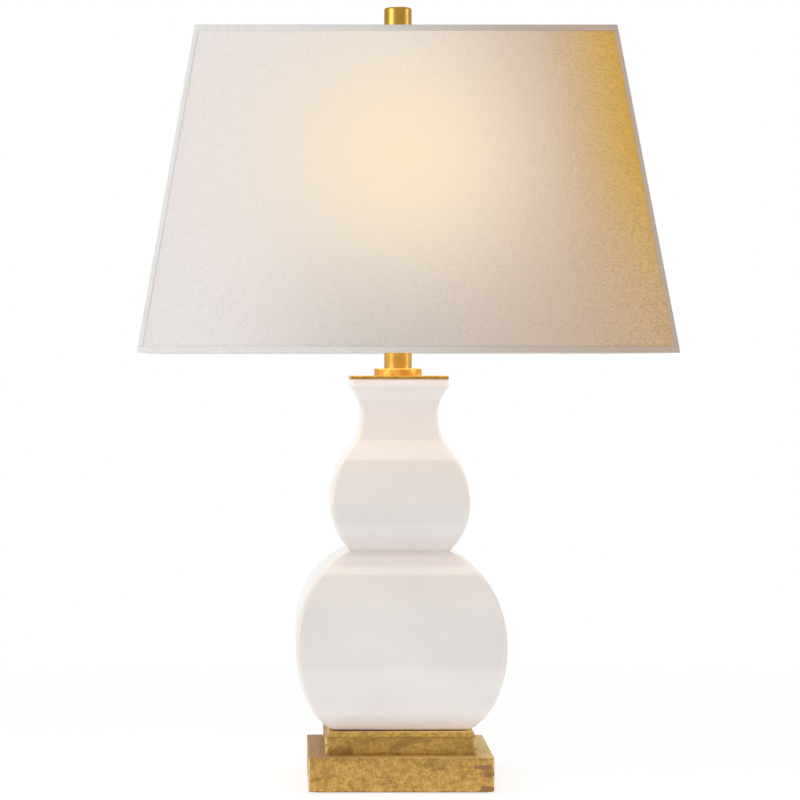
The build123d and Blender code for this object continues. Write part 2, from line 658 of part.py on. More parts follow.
def bulb_form(inset):
    """Revolved bulb: a neck that runs into a round globe on one tangent bend."""
    globe = BULB_DIAMETER / 2 - inset
    neck = BULB_CAP_DIAMETER / 2 - inset
    bend = BULB_NECK_RADIUS + inset
    centre_level = bulb_top - BULB_DIAMETER / 2
    drop = sqrt((globe + bend) ** 2 - (neck + bend) ** 2)
    share = globe / (globe + bend)
    with BuildPart() as form:
        with BuildSketch(Plane.XZ):
            with BuildLine():
                Polyline((0, bulb_cap_top), (neck, bulb_cap_top), (neck, centre_level - drop))
                TangentArc(
                    (neck, centre_level - drop),
                    (share * (neck + bend), centre_level - share * drop),
                    tangent=(0, 1),
                )
                ThreePointArc(
                    (share * (neck + bend), centre_level - share * drop),
                    (globe, centre_level),
                    (0, centre_level + globe),
                )
                Line((0, centre_level + globe), (0, bulb_cap_top))
            make_face()
        revolve(axis=Axis.Z)
    return form.part


# Glass globe of the bulb
with BuildPart() as bulb_globe:
    add(bulb_form(0))
    add(bulb_form(BULB_GLASS), mode=Mode.SUBTRACT)
finish(bulb_globe, "bulb_globe")

# Screw cap of the bulb, its thread shown as round ribs
thread_root = BULB_CAP_DIAMETER / 2 - BULB_THREAD_DEPTH
cap_bore = thread_root - BULB_CAP_WALL
with BuildPart() as bulb_cap:
    with BuildSketch(Plane.XZ):
        with BuildLine():
            rib_level = bulb_cap_bottom
            for turn in range(BULB_THREAD_TURNS):
                ThreePointArc(
                    (thread_root, rib_level),
                    (BULB_CAP_DIAMETER / 2, rib_level + BULB_THREAD_PITCH / 2),
                    (thread_root, rib_level + BULB_THREAD_PITCH),
                )
                rib_level = rib_level + BULB_THREAD_PITCH
            Polyline(
                (thread_root, rib_level),
                (BULB_CAP_DIAMETER / 2, rib_level + BULB_THREAD_DEPTH),
                (BULB_CAP_DIAMETER / 2, bulb_cap_top),
                (cap_bore, bulb_cap_top),
                (cap_bore, bulb_cap_bottom),
                (thread_root, bulb_cap_bottom),
            )
        make_face()
    revolve(axis=Axis.Z)
finish(bulb_cap, "bulb_cap")

# Insulator between the cap and the tip
tip_top = bulb_bottom + BULB_TIP_HEIGHT
with BuildPart() as bulb_insulator:
    with BuildSketch(Plane.XZ):
        Polygon(
            (0, tip_top),
            (BULB_TIP_DIAMETER / 2, tip_top),
            (thread_root, bulb_cap_bottom),
            (0, bulb_cap_bottom),
            align=None,
        )
    revolve(axis=Axis.Z)
finish(bulb_insulator, "bulb_insulator")

# Tip contact of the bulb
with BuildPart() as bulb_tip:
    add(disc(BULB_TIP_DIAMETER / 2, 0, bulb_bottom, tip_top))
finish(bulb_tip, "bulb_tip")

# Glass stem inside the bulb, on a foot that closes the neck
stem_foot_top = bulb_cap_top + STEM_FOOT_HEIGHT
stem_top = stem_foot_top + STEM_HEIGHT
with BuildPart() as bulb_stem:
    add(disc(BULB_CAP_DIAMETER / 2 - BULB_GLASS - SEAT_CLEARANCE, 0, bulb_cap_top, stem_foot_top))
    add(disc(STEM_DIAMETER / 2, 0, stem_foot_top, stem_top))
finish(bulb_stem, "bulb_stem")

# Filament and its two leads, standing on the stem
lead_x = STEM_DIAMETER / 4
lead_points = [
    (-lead_x, 0, stem_top),
    (-lead_x, 0, stem_top + FILAMENT_LIFT / 2),
    (-FILAMENT_SPAN / 2, 0, stem_top + FILAMENT_LIFT),
    (FILAMENT_SPAN / 2, 0, stem_top + FILAMENT_LIFT),
    (lead_x, 0, stem_top + FILAMENT_LIFT / 2),
    (lead_x, 0, stem_top),
]
with BuildPart() as bulb_filament:
    add(wire(lead_points, FILAMENT_DIAMETER, FILAMENT_DIAMETER / 2))
finish(bulb_filament, "bulb_filament")


def shade_half(level):
    """Half-width of the shade's outer face at a height."""
    share = (level - shade_bottom) / SHADE_HEIGHT
    return (SHADE_BOTTOM_WIDTH + share * (SHADE_TOP_WIDTH - SHADE_BOTTOM_WIDTH)) / 2


def tapered(grow, low, high, depth_grow=None):
    """Solid with the shade's taper, grown sideways, and by another amount in depth if it is given."""
    if depth_grow is None:
        depth_grow = grow
    with BuildPart() as block:
        for level in (low, high):
            with BuildSketch(Plane.XY.offset(level)):
                half = shade_half(level)
                Rectangle(2 * (half + grow), 2 * (half + depth_grow))
        loft(ruled=True)
    return block.part


# Paper shade as one open shell, which the four panels are cut from
with BuildPart() as shade_shell:
    add(tapered(0, shade_bottom, shade_top))
    add(tapered(-PANEL_THICKNESS, shade_bottom, shade_top), mode=Mode.SUBTRACT)

with BuildPart() as one_panel:
    add(shade_shell.part)
    split(bisect_by=Plane(origin=(0, 0, 0), z_dir=(1, -1, 0)), keep=Keep.TOP)
    split(bisect_by=Plane(origin=(0, 0, 0), z_dir=(-1, -1, 0)), keep=Keep.TOP)

for turn, name in enumerate(("front", "right", "back", "left")):
    with BuildPart() as shade_panel:
        add(one_panel.part, rotation=(0, 0, 90 * turn))
    finish(shade_panel, f"shade_panel_{name}")

# Folded tape over the top and bottom edges of the panels
for low, high, name in (
    (shade_top - TRIM_HEIGHT, shade_top + TAPE_THICKNESS, "shade_top_trim"),
    (shade_bottom - TAPE_THICKNESS, shade_bottom + TRIM_HEIGHT, "shade_bottom_trim"),
):
    with BuildPart() as shade_trim:
        add(tapered(TAPE_THICKNESS, low, high))
        add(tapered(-PANEL_THICKNESS - TAPE_THICKNESS, low, high), mode=Mode.SUBTRACT)
        add(shade_shell.part, mode=Mode.SUBTRACT)
    finish(shade_trim, name)

# Tape over the corners, between the two folded tapes
corner_low = shade_bottom + TRIM_HEIGHT
corner_high = shade_top - TRIM_HEIGHT
with BuildPart() as corner_tapes:
    add(tapered(TAPE_THICKNESS, corner_low, corner_high))
    add(tapered(0, corner_low, corner_high), mode=Mode.SUBTRACT)
    add(tapered(-CORNER_TAPE_WIDTH, corner_low, corner_high, CORNER_TAPE_WIDTH), mode=Mode.SUBTRACT)
    add(tapered(CORNER_TAPE_WIDTH, corner_low, corner_high, -CORNER_TAPE_WIDTH), mode=Mode.SUBTRACT)

for x_side, y_side, name in (
    (1, -1, "front_right"),
    (1, 1, "back_right"),
    (-1, 1, "back_left"),
    (-1, -1, "front_left"),
):
    with BuildPart() as corner_tape:
        add(corner_tapes.part)
        split(bisect_by=Plane(origin=(0, 0, 0), z_dir=(x_side, 0, 0)), keep=Keep.TOP)
        split(bisect_by=Plane(origin=(0, 0, 0), z_dir=(0, y_side, 0)), keep=Keep.TOP)
    finish(corner_tape, f"shade_corner_tape_{name}")

# Wire frame inside the shade
slant = hypot(SHADE_HEIGHT, (SHADE_BOTTOM_WIDTH - SHADE_TOP_WIDTH) / 2) / SHADE_HEIGHT
frame_inset = PANEL_THICKNESS + TAPE_THICKNESS + FRAME_GAP + frame_radius * slant
top_ring_level = shade_top - frame_radius
bottom_ring_level = shade_bottom + frame_radius


def square_ring(level):
    """Square wire ring with round corners, just inside the shade."""
    half = shade_half(level) - frame_inset
    corners = [(half, -half, level), (half, half, level), (-half, half, level), (-half, -half, level)]
    with BuildPart() as ring:
        with BuildLine():
            path = FilletPolyline(*corners, radius=FRAME_CORNER_RADIUS, close=True)
        with BuildSketch(Plane(origin=path @ 0, z_dir=path % 0)):
            Circle(frame_radius)
        sweep(path=path)
    return ring.part


def straight_wire(start, end, radius):
    """Straight round wire between two points."""
    run = Vector(*end) - Vector(*start)
    with BuildPart() as rod:
        with BuildSketch(Plane(origin=start, z_dir=run)):
            Circle(radius)
        extrude(amount=run.length)
    return rod.part


# Top ring with the spider: a flat hub on four arms
with BuildPart() as shade_top_frame:
    add(square_ring(top_ring_level))
    add(disc(HUB_DIAMETER / 2, 0, hub_bottom, hub_top))
    arm_start = (HUB_DIAMETER / 2 - SPIDER_WIRE_DIAMETER / 2, 0, (hub_bottom + hub_top) / 2)
    arm_end = (shade_half(top_ring_level) - frame_inset, 0, top_ring_level)
    with PolarLocations(0, 4):
        add(straight_wire(arm_start, arm_end, SPIDER_WIRE_DIAMETER / 2))
    add(disc(STUD_POST_DIAMETER / 2 + PASSAGE_CLEARANCE, 0, hub_bottom, hub_top), mode=Mode.SUBTRACT)
finish(shade_top_frame, "shade_top_frame")

# Bottom ring
with BuildPart() as shade_bottom_ring:
    add(square_ring(bottom_ring_level))
finish(shade_bottom_ring, "shade_bottom_ring")

# Corner wires between the two rings
corner_cut = FRAME_CORNER_RADIUS * (1 - cos(radians(45)))
wire_low = bottom_ring_level + frame_radius + FRAME_GAP
wire_high = top_ring_level - frame_radius - FRAME_GAP
low_half = shade_half(wire_low) - frame_inset - corner_cut
high_half = shade_half(wire_high) - frame_inset - corner_cut
with BuildPart() as shade_corner_wires:
    with PolarLocations(0, 4):
        add(
            straight_wire(
                (low_half, low_half, wire_low), (high_half, high_half, wire_high), CORNER_WIRE_DIAMETER / 2
            )
        )
finish(shade_corner_wires, "shade_corner_wires")

# Finial with a blind bore for the stud
bore_top = hub_bottom + STUD_POST_LENGTH + STUD_FLANGE_THICKNESS
with BuildPart() as finial:
    add(disc(FINIAL_DIAMETER / 2, 0, hub_top, finial_top))
    fillet(finial.faces().sort_by(Axis.Z)[-1].edges(), FINIAL_EDGE_RADIUS)
    fillet(finial.faces().sort_by(Axis.Z)[0].edges(), FINIAL_FOOT_RADIUS)
    add(disc(STUD_POST_DIAMETER / 2 + RUNNING_CLEARANCE, 0, hub_top, bore_top), mode=Mode.SUBTRACT)
finish(finial, "finial")
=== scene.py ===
from math import cos, pi, radians, sin

import bmesh
import bpy
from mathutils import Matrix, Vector


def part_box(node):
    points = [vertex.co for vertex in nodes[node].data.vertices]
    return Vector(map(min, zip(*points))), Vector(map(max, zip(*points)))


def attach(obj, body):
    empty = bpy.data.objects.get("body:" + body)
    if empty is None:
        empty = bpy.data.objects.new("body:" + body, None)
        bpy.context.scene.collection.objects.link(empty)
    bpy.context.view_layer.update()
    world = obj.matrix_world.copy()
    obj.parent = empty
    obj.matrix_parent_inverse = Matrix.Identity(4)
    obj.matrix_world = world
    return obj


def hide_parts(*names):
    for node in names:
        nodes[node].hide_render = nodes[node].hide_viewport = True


# Looks of the gourd table lamp: finishes, the pieces modelled here, and a plain studio.
# Metres, +Z up, origin at the centre of the foot, front of the lamp towards -Y.

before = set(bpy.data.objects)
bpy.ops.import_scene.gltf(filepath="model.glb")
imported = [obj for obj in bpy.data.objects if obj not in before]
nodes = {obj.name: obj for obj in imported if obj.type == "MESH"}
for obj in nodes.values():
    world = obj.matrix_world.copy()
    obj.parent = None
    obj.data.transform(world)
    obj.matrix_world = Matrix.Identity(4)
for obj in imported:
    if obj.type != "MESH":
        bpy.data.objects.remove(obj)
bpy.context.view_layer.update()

# Camera of the photograph
IMAGE_SIZE = 800
FOCAL_PIXELS = 3013
PRINCIPAL_COLUMN = 282
HORIZON_ROW = 360
CAMERA_PLACE = (-0.0885, -2.3, 0.3210)
SENSOR_WIDTH = 36.0


def levels(node):
    """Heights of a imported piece's bottom and top."""
    low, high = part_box(node)
    return low[2], high[2]


# Base
BASE_HALF = 0.069
BASE_BOTTOM, BASE_TOP = levels("base_block")
TIER_HALF = 0.0566
TIER_CAP_HALF = 0.0546
CAP_DRAWN_IN = (0, 0.0003, 0.0009, 0.0019)
TIER_TOP = levels("base_tier")[1]
TIER_LEDGE = TIER_TOP - 0.0043
TIER_SEAT = 0.001
FELT_HALF = 0.064
RECESS_RADIUS = 0.027
RECESS_TOP = BASE_BOTTOM + 0.0138
ROD_PASSAGE = 0.0054
CORD_LEVEL = sum(levels("cord_bushing")) / 2
CORD_CHANNEL = 0.0036
BUSHING_SEAT = 0.0051
BUSHING_DEPTH = 0.012
BLOCK_EDGE = 0.0008
TIER_EDGE = 0.0005
FELT_EDGE = 0.00025
LEAF_LUMPS = 0.010
LEAF_SINK = 0.0004
PILE_LUMPS = 0.0015
PILE_SINK = 0.00012

# Torn places in the leaf on the block's front: middle across and up, half-width and half-height
BARE_PLACES = [(0.0606, 0.0194, 0.0058, 0.0020), (0.0650, 0.0030, 0.0070, 0.0019)]

# Gourd body and plate
GOURD_BOTTOM = levels("gourd_body")[0]
GOURD_WAIST = GOURD_BOTTOM + 0.1322
GOURD_NECK = GOURD_BOTTOM + 0.2343
PLATE_TOP = levels("top_plate")[1]

# Socket and harp sleeves
SHELL_RADIUS = 0.0165
SHELL_WALL = 0.0006
SHELL_BOTTOM, SHELL_TOP = levels("socket_shell")
BEAD_LEVELS = [SHELL_BOTTOM + rise for rise in (0.0209, 0.0244, 0.0279)]
BEAD_REACH = 0.0012
BEAD_DEPTH = 0.0004
LIP_HEIGHT = 0.0016
LIP_ROUND = 0.0003
SWITCH_LEVEL = sum(levels("switch_shaft")) / 2
SWITCH_HOLE = 0.0035
SLEEVE_RADIUS = 0.0033
SLEEVE_WAIST = SLEEVE_RADIUS - 0.0005
SLEEVE_BORE = 0.0021
SLEEVE_BOTTOM, SLEEVE_TOP = levels("harp_sleeve_left")
SLEEVE_X = 0.031
RIM_ROUND = 0.0003
RIM_TURN = 0.0004
RIM_HEIGHT = 0.0014
RIM_END = 0.0024

# Shade
SIDES = ("front", "right", "back", "left")
CORNERS = ("front_right", "back_right", "back_left", "front_left")
SHADE_BOTTOM, SHADE_TOP = levels("shade_panel_front")
SHADE_BOTTOM_HALF = 0.190
SHADE_TOP_HALF = 0.1505
PANEL_THICKNESS = 0.001
TAPE_THICKNESS = 0.0005
TAPE_GAP = 0.00005
TAPE_LUMPS = 0.006
TRIM_HEIGHT = 0.004
TRIM_CORNER = 0.0012
TRIM_SINK = 0.00012
CORNER_TAPE_WIDTH = 0.0028
CORNER_TAPE_FOLD = 0.0006
CORNER_TAPE_SINK = 0.00010
CORNER_TAPE_PARTS = 40
SPIDER_RING_LEVEL = SHADE_TOP - 0.0015
SPIDER_RING_REACH = 0.1462
SPIDER_HUB_LEVEL = SHADE_TOP - 0.0032
SPIDER_HUB_REACH = 0.0132
WELD_RADIUS = 0.0021
WELD_FLATNESS = 0.75
WELD_LUMPS = 0.0012
WELD_SINK = 0.0005
GLOW_LEVEL = SHADE_BOTTOM + 0.1428
GLOW_WIDTH = 0.100
GLOW_HEIGHT = 0.095
GLASS_TOP = levels("bulb_globe")[1]

# Studio
AIR_LEVEL = 0.50
FLOOR_SIZE = 14
FLOOR_GLOW = 0.75
FLOOR_TONE = 0.36
FLOOR_NEAR = 0.15
FLOOR_FAR = 1.0
WALL_TONE = 0.45
BACK_COLOUR = (0.95, 0.93, 0.91, 1.0)
WALL_RADIUS = 3.3
WALL_HEIGHT = 3.0
WALL_LIFT = 0.001
TABLE_RADIUS = 0.32
LIGHT_AIM = 0.28
BULB_COLOUR = (1.0, 0.90, 0.78)


def tone(red, green, blue):
    """Colour as read on a screen, from 0 to 255, in the linear values that a shader takes."""
    shares = [channel / 255 for channel in (red, green, blue)]
    linear = [s / 12.92 if s <= 0.04045 else ((s + 0.055) / 1.055) ** 2.4 for s in shares]
    return (*linear, 1.0)


def grey(level):
    """Grey of a linear level, from 0 for black to 1 for white."""
    return (level, level, level, 1.0)


class Value:
    """Output of a node, with the arithmetic that a pattern needs."""

    def __init__(self, finish, socket):
        self.finish = finish
        self.socket = socket

    def beside(self, output):
        """Another output of the same node."""
        return Value(self.finish, self.socket.node.outputs[output])

    def maths(self, operation, first, second=0.0):
        """One sum on values or numbers."""
        return self.finish.add("ShaderNodeMath", {"operation": operation}, {0: first, 1: second})

    def __add__(self, other):
        return self.maths("ADD", self, other)

    def __radd__(self, other):
        return self.maths("ADD", other, self)

    def __sub__(self, other):
        return self.maths("SUBTRACT", self, other)

    def __rsub__(self, other):
        return self.maths("SUBTRACT", other, self)

    def __mul__(self, other):
        return self.maths("MULTIPLY", self, other)

    def __rmul__(self, other):
        return self.maths("MULTIPLY", other, self)

    def __truediv__(self, other):
        return self.maths("DIVIDE", self, other)

    def __rtruediv__(self, other):
        return self.maths("DIVIDE", other, self)

    def __pow__(self, other):
        return self.maths("POWER", self, other)

    def __abs__(self):
        return self.maths("ABSOLUTE", self)

    def least(self, other):
        """The lower of two values."""
        return self.maths("MINIMUM", self, other)

    def most(self, other):
        """The higher of two values."""
        return self.maths("MAXIMUM", self, other)

    def wave(self):
        """Sine of an angle in radians."""
        return self.maths("SINE", self)

    def rise(self, start, end):
        """0 before start and 1 after end, with a soft turn at both; the other way round if end is first."""
        return self.finish.add(
            "ShaderNodeMapRange", {"interpolation_type": "SMOOTHSTEP"}, {0: self, 1: start, 2: end}
        )


class Finish:
    """Node tree of a material or of the studio's air."""

    def __init__(self, owner):
        self.owner = owner
        owner.use_nodes = True
        self.tree = owner.node_tree
        self.tree.nodes.clear()

    def add(self, kind, settings=None, sockets=None, output=0):
        """Add a node, set it up, feed its sockets, and return one of its outputs, if it has any."""
        node = self.tree.nodes.new(kind)
        for name, setting in (settings or {}).items():
            setattr(node, name, setting)
        for name, value in (sockets or {}).items():
            if isinstance(value, Value):
                self.tree.links.new(value.socket, node.inputs[name])
            else:
                node.inputs[name].default_value = value
        return Value(self, node.outputs[output]) if node.outputs else None

    def place(self, stretch=(1, 1, 1)):
        """Place on the piece, stretched along the axes."""
        where = self.add("ShaderNodeTexCoord", output="Object")
        return self.add("ShaderNodeMapping", sockets={"Vector": where, "Scale": stretch})

    def axes(self):
        """Place on the piece as three values."""
        x = self.add("ShaderNodeSeparateXYZ", sockets={0: self.place()})
        return x, x.beside(1), x.beside(2)

    def noise(self, scale, detail=2.0, stretch=(1, 1, 1), roughness=0.5, ragged=0.0):
        """Clouds around a half, with torn outlines where ragged is more than 0."""
        sockets = {"Vector": self.place(stretch), "Scale": scale, "Detail": detail}
        sockets.update({"Roughness": roughness, "Distortion": ragged})
        return self.add("ShaderNodeTexNoise", sockets=sockets)

    def cells(self, scale, stretch=(1, 1, 1)):
        """Distance from the middle of scattered cells."""
        sockets = {"Vector": self.place(stretch), "Scale": scale}
        return self.add("ShaderNodeTexVoronoi", sockets=sockets)

    def blend(self, share, low, high):
        """Colour that goes from low to high as a share goes from 0 to 1."""
        return self.add("ShaderNodeMix", {"data_type": "RGBA"}, {0: share, 6: low, 7: high}, 2)

    def relief(self, millimetres):
        """Normal of a surface that rises by a height in millimetres."""
        return self.add("ShaderNodeBump", sockets={"Height": millimetres, "Distance": 0.001})

    def surface(self, sockets):
        """Close the finish with one shader and return its material."""
        shader = self.add("ShaderNodeBsdfPrincipled", sockets=sockets)
        self.add("ShaderNodeOutputMaterial", sockets={"Surface": shader})
        return self.owner


def new_finish(name):
    """Empty finish on a new material."""
    return Finish(bpy.data.materials.new(name))


# Finishes


def white_glaze():
    """Glossy off-white glaze with painted light at neck, waist and foot, thin on mitred corners, with a few
    pinholes.
    """
    finish = new_finish("white_glaze")
    x, y, z = finish.axes()
    clouds = finish.noise(16, 3)
    corner = abs(abs(x) - abs(y)).rise(0.0045, 0.0005)
    # Painted light: lighter glaze in the shaded waist crease, at the neck under the lit shade and at the
    # foot.
    waist = abs(z - GOURD_WAIST).rise(0.014, -0.004) * 0.6
    neck = abs(z - GOURD_NECK).rise(0.042, 0.010) * 0.22
    painted_fill_light = waist.most(neck).most((z - GOURD_BOTTOM).rise(0.022, -0.004))
    glaze = finish.blend(clouds.rise(0.3, 0.7), tone(223, 218, 215), tone(228, 223, 220))
    glaze = finish.blend(painted_fill_light, glaze, tone(250, 241, 239))
    glaze = finish.blend(corner * 0.7, glaze, tone(236, 230, 224))
    pinhole = finish.noise(520, 1).rise(0.80, 0.86)
    colour = finish.blend(pinhole * 0.5, glaze, tone(168, 150, 132))
    waver = finish.noise(30, 2) * 0.10 + finish.noise(190, 2) * 0.010
    return finish.surface({
        "Base Color": colour,
        "Roughness": 0.06 + 0.05 * finish.noise(60),
        "Normal": finish.relief(waver),
        "Coat Weight": 0.5,
        "Coat Roughness": 0.03,
    })


def gold_leaf(name, half, low, high, cap, painted_shade, foot, rubbed_highlight_reach, bare_places=()):
    """Gold leaf over brown ground on a square block: smudged, veined and pitted.

    The leaf is darkened by a painted shade (used on the tier), is painted brighter above the level of the cap
    as a painted reflection, is rubbed bright for some way round the upright edges, as wear with a painted
    highlight, and shows the ground along its foot and in torn places.
    """
    finish = new_finish(name)
    x, y, z = finish.axes()
    from_side = half - abs(x)
    from_front = half - abs(y)
    from_top = high - z
    film = finish.noise(330, 6, roughness=0.72, ragged=0.6)
    smudge = finish.noise(62, 8, (1, 1, 1.3), 0.64, 0.8)
    dull = smudge.rise(0.47, 0.68)
    veins = abs(finish.noise(95, 6, (1, 1, 1.5), 0.62, 1.5) - 0.5).rise(0.022, 0.004)
    pits = finish.noise(1300, 2).rise(0.60, 0.68)
    brushed = finish.noise(240, 3, (0.25, 0.25, 2.5)).rise(0.62, 0.72)
    leaf = finish.blend(film.rise(0.38, 0.62), tone(194, 149, 77), tone(228, 183, 102))
    # Painted shade: darker leaf by the painted_shade share.
    leaf = finish.blend(painted_shade, leaf, tone(160, 118, 58))
    leaf = finish.blend(dull * 0.80, leaf, tone(142, 106, 54))
    leaf = finish.blend(veins * 0.25, leaf, tone(126, 86, 38))
    leaf = finish.blend(pits * 0.65, leaf, tone(116, 80, 38))
    leaf = finish.blend(brushed * 0.45, leaf, tone(238, 202, 126))
    # Painted reflection: brighter leaf above the cap's level.
    painted_cap_reflection = z.rise(cap - 0.0004, cap + 0.0006) * (0.25 + 0.60 * film.rise(0.42, 0.58))
    leaf = finish.blend(painted_cap_reflection, leaf, tone(250, 204, 108))
    # Wear and a painted highlight: brighter leaf along the upright edges.
    edge_wear_and_highlight = (from_side + from_front).rise(rubbed_highlight_reach, 0.0003) * film.rise(0.38, 0.54)
    leaf = finish.blend(edge_wear_and_highlight * 0.85, leaf, tone(252, 224, 150))
    # Top faces: painted light, darker at the left and lighter at the right, with a little grain.
    top = from_top.rise(0.0012, 0.0003)
    top_face_with_painted_light = finish.blend(x.rise(-half, half), tone(180, 141, 80), tone(255, 226, 150))
    top_face_with_painted_light = finish.blend(film.rise(0.60, 0.40) * 0.35, top_face_with_painted_light, tone(170, 128, 76))
    # Painted shadow on the block's top in front of the tier, below the cap's level.
    ledge = BASE_HALF - TIER_HALF
    painted_shadow_strip = from_front.rise(ledge + 0.0006, ledge - 0.0009) * abs(x).rise(TIER_HALF + 0.004, TIER_HALF)
    painted_shadow_strip = painted_shadow_strip * z.rise(cap, cap - 0.001)
    top_face_with_painted_light = finish.blend(painted_shadow_strip * 0.4, top_face_with_painted_light, tone(198, 144, 72))
    leaf = finish.blend(top * 0.85, leaf, top_face_with_painted_light)
    # Painted shade along the block's top front edge.
    lip = from_top.rise(0.0006, 0.0) * from_front.rise(0.0008, 0.0)
    leaf = finish.blend(lip * 0.4, leaf, tone(150, 106, 52))
    bare = (z - low).rise(0.0016, 0.0003) * film.rise(0.60, 0.44) * foot
    for middle_x, middle_z, wide, tall in bare_places:
        reach = ((x - middle_x) / wide) ** 2 + ((z - middle_z) / tall) ** 2
        torn = reach + 7.0 * (film - 0.5) + 3.0 * (smudge - 0.5)
        bare = bare.most(torn.rise(1.1, 0.8) * (y + half).rise(0.0015, 0.0005))
    colour = finish.blend(bare * 0.9, leaf, tone(146, 106, 66))
    height = 0.06 * film + 0.10 * smudge - 0.05 * pits - 0.08 * bare
    return finish.surface({
        "Base Color": colour,
        "Metallic": (0.80 - 0.55 * bare - 0.20 * dull - (0.75 - 0.40 * x.rise(0, half)) * top).most(0),
        "Roughness": 0.38 + 0.14 * dull + 0.20 * bare + 0.15 * top,
        "Normal": finish.relief(height),
    })


def polished_brass():
    """Lacquered brass with fine turning marks and a little tarnish."""
    finish = new_finish("polished_brass")
    turning = finish.noise(2600, 1, (0.02, 0.02, 1))
    tarnish = finish.noise(110, 4).rise(0.45, 0.72)
    colour = finish.blend(tarnish * 0.5, tone(234, 180, 70), tone(196, 138, 44))
    return finish.surface({
        "Base Color": colour,
        "Metallic": 1.0,
        "Roughness": 0.30 + 0.10 * turning + 0.08 * tarnish,
        "Normal": finish.relief(0.006 * turning),
        "Coat Weight": 0.8,
        "Coat Roughness": 0.12,
    })


def gilt_brass():
    """Cast brass under patchy gilding, as on the collar, and darker on the plate below it."""
    finish = new_finish("gilt_brass")
    x, y, z = finish.axes()
    grain = finish.noise(620, 4, roughness=0.65)
    patches = finish.noise(150, 3).rise(0.42, 0.62)
    colour = finish.blend(patches, tone(236, 178, 76), tone(255, 214, 114))
    colour = finish.blend(grain.rise(0.58, 0.66) * 0.5, colour, tone(172, 114, 40))
    colour = finish.blend(grain.rise(0.42, 0.36) * 0.7, colour, tone(255, 226, 150))
    plate = z.rise(PLATE_TOP + 0.0002, PLATE_TOP - 0.0002)
    colour = finish.blend(plate * 0.52, colour, tone(164, 104, 38))
    return finish.surface({
        "Base Color": colour,
        "Metallic": 0.9,
        "Roughness": 0.30 + 0.18 * grain,
        "Normal": finish.relief(0.06 * grain),
    })


def shade_share(finish):
    """Share of the shade's height, and the way across: 1 at the front right corner, -1 at those beside it."""
    x, y, z = finish.axes()
    share = (z - SHADE_BOTTOM) / (SHADE_TOP - SHADE_BOTTOM)
    half = SHADE_BOTTOM_HALF - (SHADE_BOTTOM_HALF - SHADE_TOP_HALF) * share
    return share, (x - y) / half - 1


def shade_paper():
    """Natural paper with painted light: pale at the left, a painted glow from inside in the middle, painted
    shade towards the bottom and the right, and a painted warm shade by the front right corner.
    """
    finish = new_finish("shade_paper")
    x, y, z = finish.axes()
    share, across = shade_share(finish)
    from_middle = abs(x).least(abs(y))
    fibre = finish.noise(420, 4, (1, 1, 2.4), 0.6)
    flecks = finish.noise(150, 3, (1, 1, 3.0))
    paper = finish.blend(fibre.rise(0.30, 0.70), tone(223, 218, 218), tone(230, 225, 225))
    # Painted shade: darker towards the bottom, away from the left.
    low = share.rise(0.60, 0.0) * across.rise(-0.80, 0.0)
    paper = finish.blend(low * 0.85, paper, tone(192, 185, 182))
    # Painted shade: darker and warmer towards the right.
    paper = finish.blend(across.rise(-0.15, 0.75) * 0.95, paper, tone(199, 174, 153))
    # Painted glow: the bulb's light through the paper, in the base colour and in the emission.
    reach = (from_middle / GLOW_WIDTH) ** 2 + ((z - GLOW_LEVEL) / GLOW_HEIGHT) ** 2
    glow = 1 / (1 + reach + 0.5 * reach * reach)
    paper = finish.blend(glow * 0.95, paper, tone(248, 228, 198))
    # Painted warm shade: gold by the front right corner, stronger upwards.
    gold = across.rise(0.55, 1.05) * (0.36 + 0.64 * share.rise(-0.05, 0.65))
    gold = gold * (0.88 + 0.24 * fibre)
    paper = finish.blend(gold, paper, tone(219, 170, 75))
    # Fibre grain, its darkening stronger towards the painted shade and weaker in the painted glow.
    shown = (0.10 + 0.35 * across.rise(-0.8, 0.2) + 0.55 * across.rise(0.5, 1.0)) * (1 - glow)
    colour = finish.blend(fibre.rise(0.58, 0.38) * shown * 0.22, paper, grey(0))
    return finish.surface({
        "Base Color": colour,
        "Roughness": 0.85,
        "Normal": finish.relief(0.05 * fibre + 0.04 * flecks),
        "Emission Color": finish.blend(glow, tone(0, 0, 0), tone(255, 220, 170)),
        "Emission Strength": 0.04,
        "Specular IOR Level": 0.25,
    })


def edge_tape():
    """Grey-white woven tape, with painted shade towards the front right corner."""
    finish = new_finish("edge_tape")
    x, y, z = finish.axes()
    _, across = shade_share(finish)
    weave = ((x + y) * 9000).wave() * (z * 9000).wave()
    slub = finish.noise(300, 3, (1, 1, 4))
    tape = finish.blend(slub.rise(0.3, 0.7), tone(220, 219, 216), tone(230, 229, 226))
    # Painted shade: darker and warmer towards the front right corner.
    colour = finish.blend(across.rise(-0.8, 0.9) * 0.95, tape, tone(184, 165, 147))
    return finish.surface({
        "Base Color": colour,
        "Roughness": 0.8,
        "Normal": finish.relief(0.03 * weave + 0.05 * slub),
        "Sheen Weight": 0.2,
    })


def wire_coat():
    """White powder coat on the shade's wire frame, with a fine pebbled skin."""
    finish = new_finish("wire_coat")
    pebble = finish.noise(1500, 3)
    handling = finish.noise(120, 3)
    colour = finish.blend(handling.rise(0.35, 0.65), tone(206, 203, 197), tone(222, 220, 215))
    return finish.surface({
        "Base Color": colour,
        "Roughness": 0.40 + 0.20 * pebble,
        "Normal": finish.relief(0.03 * pebble),
    })


def base_felt():
    """Dark felt with loose fibres."""
    finish = new_finish("base_felt")
    fluff = finish.noise(900, 5, roughness=0.7)
    patches = finish.noise(70, 3)
    colour = finish.blend(fluff.rise(0.35, 0.65), tone(38, 40, 34), tone(74, 76, 66))
    colour = finish.blend(patches.rise(0.5, 0.8) * 0.4, colour, tone(58, 54, 46))
    return finish.surface({
        "Base Color": colour,
        "Roughness": 0.95,
        "Normal": finish.relief(0.35 * fluff),
        "Sheen Weight": 0.5,
    })


